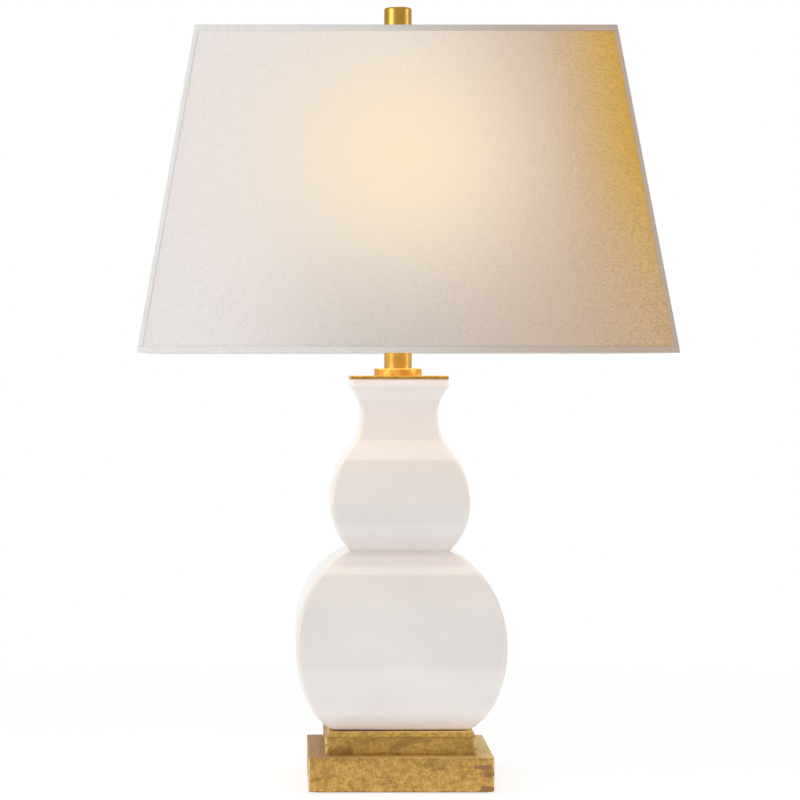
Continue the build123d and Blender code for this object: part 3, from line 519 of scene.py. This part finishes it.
def moulded_black():
    """Black moulded plastic with a fine grain."""
    finish = new_finish("moulded_black")
    grain = finish.noise(1400, 3)
    handling = finish.noise(120, 2)
    colour = finish.blend(handling.rise(0.35, 0.7), tone(24, 23, 22), tone(40, 38, 36))
    return finish.surface({
        "Base Color": colour,
        "Roughness": 0.38 + 0.18 * grain,
        "Normal": finish.relief(0.02 * grain),
    })


def zinc_steel():
    """Zinc plated steel with drawn scratches and a thread's fine ridges."""
    finish = new_finish("zinc_steel")
    x, y, z = finish.axes()
    spangle = finish.cells(260)
    scratch = finish.noise(900, 2, (1, 1, 0.08))
    thread = (z * 2 * pi / 0.001).wave()
    colour = finish.blend(spangle.rise(0.1, 0.7), tone(176, 178, 180), tone(206, 207, 205))
    colour = finish.blend(scratch.rise(0.6, 0.75) * 0.5, colour, tone(142, 140, 134))
    return finish.surface({
        "Base Color": colour,
        "Metallic": 1.0,
        "Roughness": 0.28 + 0.15 * scratch,
        "Normal": finish.relief(0.10 * thread + 0.01 * scratch),
    })


def soft_rubber():
    """Pale silicone rubber."""
    finish = new_finish("soft_rubber")
    bloom = finish.noise(220, 4)
    colour = finish.blend(bloom.rise(0.4, 0.75), tone(206, 198, 188), tone(226, 220, 212))
    return finish.surface({
        "Base Color": colour,
        "Roughness": 0.60 + 0.15 * bloom,
        "Normal": finish.relief(0.03 * bloom),
    })


def fibre_board():
    """Brown insulating fibre."""
    finish = new_finish("fibre_board")
    strands = finish.noise(500, 4, (1, 1, 5), 0.65)
    colour = finish.blend(strands.rise(0.3, 0.7), tone(128, 96, 62), tone(176, 140, 98))
    return finish.surface({
        "Base Color": colour,
        "Roughness": 0.85,
        "Normal": finish.relief(0.06 * strands),
    })


def clear_glass():
    """Clear bulb glass, slightly greyed by use towards its crown."""
    finish = new_finish("clear_glass")
    x, y, z = finish.axes()
    haze = finish.noise(90, 3)
    greyed = z.rise(GLASS_TOP - 0.05, GLASS_TOP) * 0.5 + haze * 0.1
    colour = finish.blend(greyed, tone(250, 250, 246), tone(214, 210, 200))
    return finish.surface({
        "Base Color": colour,
        "Roughness": 0.02 + 0.04 * haze,
        "Transmission Weight": 1.0,
        "IOR": 1.45,
    })


def nickel_plate():
    """Nickel plate with rubbed thread crests."""
    finish = new_finish("nickel_plate")
    rub = finish.noise(350, 3, (1, 1, 3))
    colour = finish.blend(rub.rise(0.35, 0.7), tone(182, 176, 166), tone(214, 208, 196))
    return finish.surface({
        "Base Color": colour,
        "Metallic": 1.0,
        "Roughness": 0.16 + 0.16 * rub,
        "Normal": finish.relief(0.01 * rub),
    })


def black_glass():
    """Black vitreous insulator of the bulb's cap."""
    finish = new_finish("black_glass")
    swirl = finish.noise(300, 3)
    colour = finish.blend(swirl.rise(0.4, 0.7), tone(16, 16, 18), tone(36, 35, 40))
    return finish.surface({"Base Color": colour, "Roughness": 0.10 + 0.10 * swirl})


def lit_filament():
    """Filament wire, warm and glowing along its straight run."""
    finish = new_finish("lit_filament")
    x, y, z = finish.axes()
    coil = (x * 2 * pi / 0.0006).wave()
    hot = abs(x).rise(0.0135, 0.0105)
    colour = finish.blend(coil.rise(-1, 1), tone(90, 84, 78), tone(150, 140, 128))
    return finish.surface({
        "Base Color": colour,
        "Metallic": 0.8,
        "Roughness": 0.4,
        "Emission Color": finish.blend(hot, tone(30, 12, 4), tone(255, 206, 132)),
        "Emission Strength": 2.5,
    })


def dress(material, *names):
    """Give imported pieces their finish."""
    for name in names:
        for slot in nodes[name].material_slots:
            slot.material = material


# Modelling by hand


def take_up(name):
    """Name the primitive just added, put its place into its mesh, and open it with all of it selected."""
    piece = bpy.context.object
    piece.name = name
    bpy.ops.object.transform_apply(location=True, rotation=True, scale=True)
    bpy.ops.object.mode_set(mode="EDIT")
    bpy.ops.mesh.select_all(action="SELECT")
    return piece


def choose(piece, test):
    """Select the vertices whose place passes a test."""
    bpy.ops.mesh.select_mode(type="VERT")
    bpy.ops.mesh.select_all(action="DESELECT")
    mesh = bmesh.from_edit_mesh(piece.data)
    for vertex in mesh.verts:
        vertex.select_set(test(vertex.co))
    mesh.select_flush(True)
    bmesh.update_edit_mesh(piece.data)


def raise_loop(steps):
    """Extrude the selected loop through pairs of half-width and height."""
    for (width, low), (next_width, high) in zip(steps, steps[1:]):
        bpy.ops.mesh.extrude_region_move(TRANSFORM_OT_translate={"value": (0, 0, high - low)})
        share = next_width / width
        bpy.ops.transform.resize(value=(share, share, 1))


def close_section():
    """Join the first loop to the last, so the wall is closed all round, and turn its faces outwards."""
    bpy.ops.mesh.select_mode(type="EDGE")
    bpy.ops.mesh.select_all(action="DESELECT")
    bpy.ops.mesh.select_non_manifold()
    bpy.ops.mesh.bridge_edge_loops()
    bpy.ops.mesh.select_all(action="SELECT")
    bpy.ops.mesh.normals_make_consistent(inside=False)


def soften(radius):
    """Round the sharp edges of the piece in hand."""
    bpy.ops.mesh.select_mode(type="EDGE")
    bpy.ops.mesh.select_all(action="DESELECT")
    bpy.ops.mesh.edges_select_sharp(sharpness=radians(60))
    bpy.ops.mesh.bevel(offset=radius, segments=3, affect="EDGES")


def pick(piece):
    """Select one piece and nothing else."""
    bpy.ops.object.select_all(action="DESELECT")
    piece.select_set(True)
    bpy.context.view_layer.objects.active = piece


def put_down(piece):
    """Leave edit mode and shade the piece smoothly, except over sharp edges."""
    bpy.ops.object.mode_set(mode="OBJECT")
    pick(piece)
    bpy.ops.object.shade_smooth_by_angle(angle=radians(40))


def twin(piece, name):
    """Copy a piece with a mesh of its own."""
    copy = piece.copy()
    copy.data = piece.data.copy()
    copy.name = name
    bpy.context.collection.objects.link(copy)
    return copy


def fix_place(piece):
    """Put the place and turn of a piece into its mesh."""
    pick(piece)
    bpy.ops.object.transform_apply(location=True, rotation=True, scale=True)


def work(piece, kind, **settings):
    """Add a modifier to a piece and apply it."""
    modifier = piece.modifiers.new(kind.lower(), kind)
    for name, setting in settings.items():
        setattr(modifier, name, setting)
    bpy.context.view_layer.objects.active = piece
    bpy.ops.object.modifier_apply(modifier=modifier.name)


def roughen(piece, size, depth):
    """Sink the surface unevenly by up to a depth."""
    clouds = bpy.data.textures.new("clouds", "CLOUDS")
    clouds.noise_scale = size
    work(piece, "DISPLACE", texture=clouds, texture_coords="LOCAL", strength=depth, mid_level=1.0)


def drill(piece, radius, start, end):
    """Cut a round hole from one point to another."""
    run = Vector(end) - Vector(start)
    bpy.ops.mesh.primitive_cylinder_add(
        vertices=64,
        radius=radius,
        depth=run.length,
        location=Vector(start) + run / 2,
        rotation=run.to_track_quat("Z", "Y").to_euler(),
    )
    bit = bpy.context.object
    work(piece, "BOOLEAN", object=bit, operation="DIFFERENCE", solver="EXACT")
    bpy.data.objects.remove(bit)


def settle(piece, material, body, node=None):
    """Give a finished piece its material, the body that carries it, and the node it stands for."""
    piece.data.materials.clear()
    piece.data.materials.append(material)
    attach(piece, body)
    if node:
        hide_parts(node)
    bpy.ops.object.select_all(action="DESELECT")


# Pieces of the base


def square_block(name, cuts, steps, edge_radius):
    """Square sheet, divided, raised through pairs of half-width and height, and softened at its edges."""
    bpy.ops.mesh.primitive_plane_add(size=2 * steps[0][0], location=(0, 0, steps[0][1]))
    block = take_up(name)
    bpy.ops.mesh.subdivide(number_cuts=cuts)
    raise_loop(steps)
    bpy.ops.mesh.select_all(action="SELECT")
    bpy.ops.mesh.normals_make_consistent(inside=False)
    soften(edge_radius)
    put_down(block)
    return block


def even_steps(half, low, high, count):
    """Pairs of the same half-width and evenly rising heights."""
    return [(half, low + (high - low) * step / count) for step in range(count + 1)]


def gilded_block(material):
    """Lower block with softened, slightly uneven edges, hollow below and bored at the back for a cord."""
    steps = even_steps(BASE_HALF, BASE_BOTTOM, BASE_TOP, count=7)
    block = square_block("gilded_block", cuts=40, steps=steps, edge_radius=BLOCK_EDGE)
    roughen(block, LEAF_LUMPS, LEAF_SINK)
    drill(block, RECESS_RADIUS, (0, 0, -BASE_TOP), (0, 0, RECESS_TOP))
    drill(block, ROD_PASSAGE, (0, 0, 0), (0, 0, 2 * BASE_TOP))
    drill(block, CORD_CHANNEL, (0, 0, CORD_LEVEL), (0, 2 * BASE_HALF, CORD_LEVEL))
    drill(block, BUSHING_SEAT, (0, BASE_HALF - BUSHING_DEPTH, CORD_LEVEL), (0, 2 * BASE_HALF, CORD_LEVEL))
    put_down(block)
    settle(block, material, "lamp_stand", "base_block")


def gilded_tier(material):
    """Upper tier, let into the block: a step drawn in at the ledge to a smaller cap with a turned face."""
    steps = even_steps(TIER_HALF, BASE_TOP - TIER_SEAT, TIER_LEDGE, count=4)
    rise = (TIER_TOP - TIER_LEDGE) / (len(CAP_DRAWN_IN) - 1)
    for count, draw in enumerate(CAP_DRAWN_IN):
        steps.append((TIER_CAP_HALF - draw, TIER_LEDGE + count * rise))
    tier = square_block("gilded_tier", cuts=32, steps=steps, edge_radius=TIER_EDGE)
    roughen(tier, LEAF_LUMPS, LEAF_SINK)
    drill(tier, ROD_PASSAGE, (0, 0, 0), (0, 0, 2 * TIER_TOP))
    put_down(tier)
    settle(tier, material, "lamp_stand", "base_tier")


def felt_foot(material):
    """Felt under the block, with a soft rim and an uneven pile."""
    steps = even_steps(FELT_HALF, 0, BASE_BOTTOM, count=1)
    felt = square_block("felt_foot", cuts=60, steps=steps, edge_radius=FELT_EDGE)
    roughen(felt, PILE_LUMPS, PILE_SINK)
    drill(felt, RECESS_RADIUS, (0, 0, -BASE_TOP), (0, 0, BASE_TOP))
    put_down(felt)
    settle(felt, material, "lamp_stand", "felt_pad")


# Pieces of the shade


def shade_half(level):
    """Half-width of the shade's outer face at a height."""
    share = (level - SHADE_BOTTOM) / (SHADE_TOP - SHADE_BOTTOM)
    return SHADE_BOTTOM_HALF + share * (SHADE_TOP_HALF - SHADE_BOTTOM_HALF)


def folded_tape(name, edge, outward, material, node):
    """Tape folded over an edge of the shade, upwards or downwards, and closed round the four sides."""
    outer = TAPE_THICKNESS
    inner = -PANEL_THICKNESS - TAPE_THICKNESS
    tail = edge - outward * TRIM_HEIGHT
    fold = edge + outward * TAPE_THICKNESS
    turn = edge + outward * TAPE_THICKNESS * 0.5
    rest = edge + outward * TAPE_GAP
    section = [
        (outer, tail),
        (outer, edge),
        (outer * 0.8, turn),
        (0, fold),
        (-PANEL_THICKNESS, fold),
        (inner * 0.95, turn),
        (inner, edge),
        (inner, tail),
        (-PANEL_THICKNESS - TAPE_GAP, tail),
        (-PANEL_THICKNESS - TAPE_GAP, rest),
        (TAPE_GAP, rest),
        (TAPE_GAP, tail),
    ]
    steps = [(shade_half(level) + grow, level) for grow, level in section]
    bpy.ops.mesh.primitive_plane_add(size=2 * steps[0][0], location=(0, 0, steps[0][1]))
    tape = take_up(name)
    bpy.ops.mesh.bevel(offset=TRIM_CORNER, segments=3, affect="VERTICES")
    bpy.ops.mesh.delete(type="ONLY_FACE")
    bpy.ops.mesh.select_all(action="SELECT")
    bpy.ops.mesh.subdivide(number_cuts=40)
    raise_loop(steps)
    close_section()
    put_down(tape)
    roughen(tape, TAPE_LUMPS, TRIM_SINK)
    settle(tape, material, "shade", node)


def corner_tapes(material):
    """Tape over each corner between the folded ones, modelled at the front right and turned to the others."""
    low = SHADE_BOTTOM + TRIM_HEIGHT
    high = SHADE_TOP - TRIM_HEIGHT
    reach = shade_half(low) + TAPE_THICKNESS
    side = CORNER_TAPE_WIDTH + TAPE_THICKNESS
    middle = reach - side / 2
    bpy.ops.mesh.primitive_plane_add(size=side, location=(middle, -middle, low))
    tape = take_up("corner_tape_front_right")
    choose(tape, lambda place: place.x > middle and place.y < -middle)
    bpy.ops.mesh.bevel(offset=CORNER_TAPE_FOLD, segments=3, affect="VERTICES")
    choose(tape, lambda place: place.x < middle and place.y > -middle)
    bpy.ops.mesh.delete(type="VERT")
    bpy.ops.mesh.select_all(action="SELECT")
    draw_in = (shade_half(high) - shade_half(low)) / CORNER_TAPE_PARTS
    stretch = (draw_in, -draw_in, (high - low) / CORNER_TAPE_PARTS)
    for _ in range(CORNER_TAPE_PARTS):
        bpy.ops.mesh.extrude_region_move(TRANSFORM_OT_translate={"value": stretch})
    bpy.ops.mesh.select_all(action="SELECT")
    bpy.ops.mesh.normals_make_consistent(inside=False)
    put_down(tape)
    work(tape, "SOLIDIFY", thickness=TAPE_THICKNESS - TAPE_GAP, offset=-1.0, use_even_offset=True)
    roughen(tape, TAPE_LUMPS, CORNER_TAPE_SINK)
    put_down(tape)
    tapes = [tape] + [twin(tape, f"corner_tape_{corner}") for corner in CORNERS[1:]]
    for turn, (piece, corner) in enumerate(zip(tapes, CORNERS)):
        piece.rotation_euler = (0, 0, radians(90) * turn)
        fix_place(piece)
        settle(piece, material, "shade", f"shade_corner_tape_{corner}")


def spider_welds(material):
    """Small beads where the spider's arms meet the ring and the hub."""
    ends = ((SPIDER_RING_REACH, SPIDER_RING_LEVEL), (SPIDER_HUB_REACH, SPIDER_HUB_LEVEL))
    places = []
    for turn in range(4):
        angle = radians(90 * turn)
        places += [(reach * cos(angle), reach * sin(angle), level) for reach, level in ends]
    beads = []
    for place in places:
        bpy.ops.mesh.primitive_ico_sphere_add(subdivisions=4, radius=WELD_RADIUS, location=place)
        bead = take_up("spider_welds")
        bpy.ops.transform.resize(value=(1.0, 1.0, WELD_FLATNESS))
        put_down(bead)
        roughen(bead, WELD_LUMPS, WELD_SINK)
        beads.append(bead)
    for bead in beads:
        bead.select_set(True)
    bpy.ops.object.join()
    settle(beads[-1], material, "shade")


# Pieces of the socket and the harp


def turned(name, steps, sides=72):
    """Ring turned about the lamp's axis, its wall closed along pairs of radius and height."""
    bpy.ops.mesh.primitive_circle_add(vertices=sides, radius=steps[0][0], location=(0, 0, steps[0][1]))
    ring = take_up(name)
    raise_loop(steps)
    close_section()
    put_down(ring)
    return ring


def beaded_shell(material):
    """Socket shell with pressed beads, a rolled lip and the opening for the switch."""
    bore = SHELL_RADIUS - SHELL_WALL
    groove = SHELL_RADIUS - BEAD_DEPTH
    steps = [(bore, SHELL_BOTTOM), (SHELL_RADIUS, SHELL_BOTTOM)]
    for level in BEAD_LEVELS:
        for rise, sink in ((-1, 0), (-0.5, 0.7), (0, 1), (0.5, 0.7), (1, 0)):
            steps.append((SHELL_RADIUS - sink * BEAD_DEPTH, level + rise * BEAD_REACH))
    lip = SHELL_TOP - LIP_HEIGHT
    steps += [(groove, lip), (groove, lip + LIP_HEIGHT / 4)]
    steps += [(SHELL_RADIUS, lip + LIP_HEIGHT / 2), (SHELL_RADIUS, SHELL_TOP - LIP_ROUND)]
    steps += [(SHELL_RADIUS - LIP_ROUND, SHELL_TOP), (bore, SHELL_TOP)]
    shell = turned("beaded_shell", steps)
    drill(shell, SWITCH_HOLE, (0, 0, SWITCH_LEVEL), (0, -2 * SHELL_RADIUS, SWITCH_LEVEL))
    put_down(shell)
    settle(shell, material, "lamp_stand", "socket_shell")


def rolled_sleeves(material):
    """Harp sleeves, waisted between two rolled rims, one for each leg."""
    rim = [
        (SLEEVE_BORE, 0),
        (SLEEVE_RADIUS - RIM_ROUND, 0),
        (SLEEVE_RADIUS, RIM_TURN),
        (SLEEVE_RADIUS, RIM_HEIGHT),
        (SLEEVE_WAIST, RIM_END),
    ]
    steps = [(radius, SLEEVE_BOTTOM + rise) for radius, rise in rim]
    steps += [(radius, SLEEVE_TOP - rise) for radius, rise in reversed(rim)]
    left = turned("rolled_sleeve_left", steps, sides=40)
    right = twin(left, "rolled_sleeve_right")
    for sleeve, place, name in ((left, -SLEEVE_X, "left"), (right, SLEEVE_X, "right")):
        sleeve.location = (place, 0, 0)
        fix_place(sleeve)
        settle(sleeve, material, f"sleeve_{name}", f"harp_sleeve_{name}")


# Dressing

brass = polished_brass()
gilt = gilt_brass()
black = moulded_black()
steel = zinc_steel()
rubber = soft_rubber()
glass = clear_glass()
paper = shade_paper()
tape = edge_tape()
coat = wire_coat()
block_leaf = gold_leaf(
    "gold_leaf_block",
    half=BASE_HALF,
    low=BASE_BOTTOM,
    high=BASE_TOP,
    cap=TIER_LEDGE,
    painted_shade=0.0,
    foot=1.0,
    rubbed_highlight_reach=0.0022,
    bare_places=BARE_PLACES,
)
tier_leaf = gold_leaf(
    "gold_leaf_tier",
    half=TIER_HALF,
    low=BASE_TOP,
    high=TIER_TOP,
    cap=TIER_LEDGE,
    painted_shade=0.2,
    foot=0.0,
    rubbed_highlight_reach=0.0040,
)

dress(black, "cord_bushing", "switch_knob", "socket_core")
dress(steel, "threaded_rod", "rod_nut", "lock_washer", "rod_washer", "cap_set_screw", "locating_plug")
dress(rubber, "body_gasket", "plate_gasket")
dress(white_glaze(), "gourd_body")
dress(gilt, "top_plate", "collar")
dress(brass, "neck_tube", "harp_saddle", "harp", "harp_stud", "socket_cap", "switch_shaft")
dress(brass, "screw_shell", "centre_contact", "terminal_screws", "finial", "bulb_tip")
dress(fibre_board(), "socket_liner")
dress(glass, "bulb_globe", "bulb_stem")
dress(nickel_plate(), "bulb_cap")
dress(lit_filament(), "bulb_filament")
dress(black_glass(), "bulb_insulator")
dress(paper, *[f"shade_panel_{side}" for side in SIDES])
dress(coat, "shade_top_frame", "shade_bottom_ring", "shade_corner_wires")

bpy.ops.object.select_all(action="DESELECT")
gilded_block(block_leaf)
gilded_tier(tier_leaf)
felt_foot(base_felt())
folded_tape("top_tape", SHADE_TOP, 1, tape, "shade_top_trim")
folded_tape("bottom_tape", SHADE_BOTTOM, -1, tape, "shade_bottom_trim")
corner_tapes(tape)
spider_welds(coat)
beaded_shell(brass)
rolled_sleeves(brass)


# Studio


def pale_floor():
    """Wide pale floor that keeps the lamp's shadow and fades into the white air further off."""
    bpy.ops.mesh.primitive_plane_add(size=FLOOR_SIZE)
    floor = bpy.context.object
    floor.name = "floor"
    finish = new_finish("pale_floor")
    x, y, z = finish.axes()
    far = ((x * x + y * y) ** 0.5).rise(FLOOR_NEAR, FLOOR_FAR)
    floor.data.materials.append(finish.surface({
        "Base Color": finish.blend(far, grey(FLOOR_TONE), grey(0)),
        "Roughness": 1.0,
        "Specular IOR Level": 0.0,
        "Emission Color": finish.blend(far, grey(FLOOR_GLOW), grey(1)),
        "Emission Strength": 1.0,
    }))


def studio_air():
    """White to the eye, in metal and in glass, and an even soft light for the rest."""
    finish = Finish(bpy.data.worlds.new("studio_air"))
    seen = finish.add("ShaderNodeLightPath", output="Is Camera Ray")
    seen = seen.most(seen.beside("Is Glossy Ray")).most(seen.beside("Is Transmission Ray"))
    level = AIR_LEVEL + (1 - AIR_LEVEL) * seen
    light = finish.add("ShaderNodeBackground", sockets={"Color": grey(1), "Strength": level})
    finish.add("ShaderNodeOutputWorld", sockets={"Surface": light})
    bpy.context.scene.world = finish.owner


def softbox(name, azimuth, distance, height, size, radiance, colour=(1, 1, 1)):
    """Rectangular light that faces the lamp; azimuth 0 is in front and 90 at the right."""
    turn = radians(azimuth)
    place = Vector((distance * sin(turn), -distance * cos(turn), height))
    facing = Vector((0, 0, LIGHT_AIM)) - place
    light = bpy.data.lights.new(name, "AREA")
    light.shape = "RECTANGLE"
    light.size, light.size_y = size
    light.energy = radiance * pi * size[0] * size[1]
    light.color = colour
    lamp = bpy.data.objects.new(name, light)
    lamp.location = place
    lamp.rotation_euler = facing.to_track_quat("-Z", "Y").to_euler()
    lamp.visible_camera = False
    bpy.context.collection.objects.link(lamp)
    return lamp


def studio_walls():
    """Grey room round a small white table, pale behind it, seen only in gloss."""
    middle = (0, 0, WALL_HEIGHT / 2 + WALL_LIFT)
    bpy.ops.mesh.primitive_cylinder_add(vertices=96, radius=WALL_RADIUS, depth=WALL_HEIGHT, location=middle)
    walls = take_up("studio_walls")
    choose(walls, lambda place: place.z < WALL_HEIGHT / 2)
    bpy.ops.mesh.inset(thickness=WALL_RADIUS - TABLE_RADIUS)
    bpy.ops.mesh.delete(type="FACE")
    put_down(walls)
    finish = new_finish("studio_wall")
    x, y, z = finish.axes()
    behind = (y - 2 * abs(x)).rise(0.1, 0.4)
    colour = finish.blend(behind, grey(WALL_TONE), BACK_COLOUR)
    shine = finish.add("ShaderNodeEmission", sockets={"Color": colour})
    finish.add("ShaderNodeOutputMaterial", sockets={"Surface": shine})
    walls.data.materials.append(finish.owner)
    walls.visible_camera = False
    walls.visible_diffuse = False
    walls.visible_transmission = False
    walls.visible_shadow = False


def photograph_camera():
    """Camera at the photograph's place, looking straight back."""
    camera = bpy.data.cameras.new("camera")
    camera.sensor_width = SENSOR_WIDTH
    camera.lens = FOCAL_PIXELS * SENSOR_WIDTH / IMAGE_SIZE
    camera.shift_x = 0.5 - PRINCIPAL_COLUMN / IMAGE_SIZE
    camera.shift_y = HORIZON_ROW / IMAGE_SIZE - 0.5
    holder = bpy.data.objects.new("camera", camera)
    holder.location = CAMERA_PLACE
    holder.rotation_euler = (radians(90), 0, 0)
    bpy.context.collection.objects.link(holder)
    bpy.context.scene.camera = holder


bpy.ops.object.select_all(action="DESELECT")
pale_floor()
studio_walls()
studio_air()
softbox("left_box", azimuth=-58, distance=2.0, height=0.75, size=(1.0, 1.5), radiance=2.8)
softbox("right_strip", azimuth=80, distance=2.0, height=0.65, size=(0.4, 1.5), radiance=3.0)
front_box = softbox("front_box", azimuth=-12, distance=2.6, height=2.0, size=(1.6, 1.2), radiance=1.3)
low_box = softbox("low_box", azimuth=0, distance=2.2, height=0.12, size=(1.4, 0.3), radiance=2.4)
front_box.visible_glossy = False
low_box.visible_glossy = False
softbox("bulb_light", 0, 0, SHADE_BOTTOM + 0.02, size=(0.36, 0.20), radiance=1.42, colour=BULB_COLOUR)
photograph_camera()
bpy.context.scene.view_settings.view_transform = "Standard"
